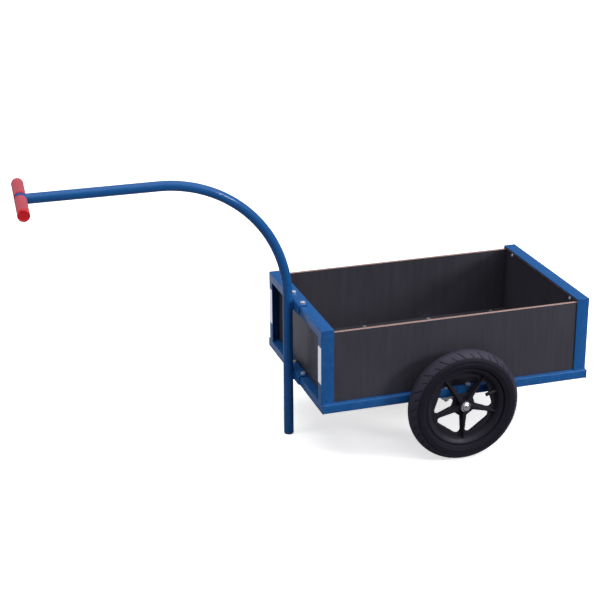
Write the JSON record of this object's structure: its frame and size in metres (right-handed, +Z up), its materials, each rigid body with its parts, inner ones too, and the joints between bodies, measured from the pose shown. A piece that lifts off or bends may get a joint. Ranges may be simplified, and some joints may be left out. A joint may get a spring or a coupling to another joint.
{
  "type": "hand cart",
  "caption": "Two-wheeled pull cart: an open box of dark panels in a blue steel angle frame, spoked wheels with air tyres, and a bent tube drawbar that ends in a T handle and a front stand.",
  "frame": {"origin": "on the ground, at the middle of the whole cart's length and width", "axes": "+X to the rear of the box, away from the handle; +Y to the cart's right side as seen by somebody who looks along -X from behind it, so -Y is the side called left; +Z up"},
  "size_m": [1.4945, 0.628, 0.762],
  "materials": {
    "zinc_steel": "bright zinc plate",
    "nylon": "natural nylon",
    "bearing_steel": "ground bearing steel",
    "blue_paint": "gloss powder coat, mid blue",
    "black_plastic": "black moulded plastic",
    "panel": "phenolic-film faced plywood, dark brown, with bare reddish-brown edges",
    "grip_plastic": "soft red plastic with a fine ribbed surface and glossy end",
    "chrome_cap": "polished chrome",
    "tube_rubber": "soft black rubber",
    "reflector": "white reflective film",
    "rim_plastic": "black moulded plastic",
    "tyre_rubber": "matt black rubber with a lighter dusty tread"
  },
  "bodies": {
    "cart": {"axle": "zinc_steel", "axle_saddle_bolts": "zinc_steel", "axle_saddle_left": "zinc_steel", "axle_saddle_nuts": "zinc_steel", "axle_saddle_right": "zinc_steel", "axle_spacers": "zinc_steel", "bottom_cross_rail_front": "blue_paint", "bottom_cross_rail_rear": "blue_paint", "bottom_side_rail_left": "blue_paint", "bottom_side_rail_right": "blue_paint", "corner_post_front_left": "blue_paint", "corner_post_front_right": "blue_paint", "corner_post_rear_left": "blue_paint", "corner_post_rear_right": "blue_paint", "drawbar_bolts": "zinc_steel", "drawbar_bracket_bottom": "blue_paint", "drawbar_bracket_top": "blue_paint", "drawbar_foot_plug": "black_plastic", "drawbar_nuts": "zinc_steel", "drawbar_tube": "blue_paint", "drawbar_washers": "zinc_steel", "end_board_front": "panel", "end_board_lugs": "blue_paint", "end_board_nuts": "zinc_steel", "end_board_rear": "panel", "end_board_screws": "zinc_steel", "floor_board": "panel", "floor_screws": "zinc_steel", "handle_crossbar": "blue_paint", "handle_grip_left": "grip_plastic", "handle_grip_right": "grip_plastic", "hub_cap_left": "chrome_cap", "hub_cap_right": "chrome_cap", "hub_washers": "zinc_steel", "reflector_strip_left": "reflector", "reflector_strip_right": "reflector", "side_board_left": "panel", "side_board_right": "panel", "top_rail_front": "blue_paint", "top_rail_rear": "blue_paint"},
    "wheel_left": {"rim_left": "rim_plastic", "tyre_left": "tyre_rubber", "inner_tube_left": "tube_rubber", "valve_stem_left": "tube_rubber", "valve_cap_left": "black_plastic", "hub_sleeve_left": "bearing_steel", "bearing_cage_left": "nylon", "bearing_rollers_left": "bearing_steel"},
    "wheel_right": {"rim_right": "rim_plastic", "tyre_right": "tyre_rubber", "inner_tube_right": "tube_rubber", "valve_stem_right": "tube_rubber", "valve_cap_right": "black_plastic", "hub_sleeve_right": "bearing_steel", "bearing_cage_right": "nylon", "bearing_rollers_right": "bearing_steel"}
  },
  "joints": [
    {"name": "wheel_left_spin", "type": "hinge", "parent": "cart", "child": "wheel_left", "pos_m": [0.36735, -0.2835, 0.155], "axis": [0, 1, 0], "continuous": true},
    {"name": "wheel_right_spin", "type": "hinge", "parent": "cart", "child": "wheel_right", "pos_m": [0.36735, 0.2835, 0.155], "axis": [0, 1, 0], "continuous": true}
  ]
}
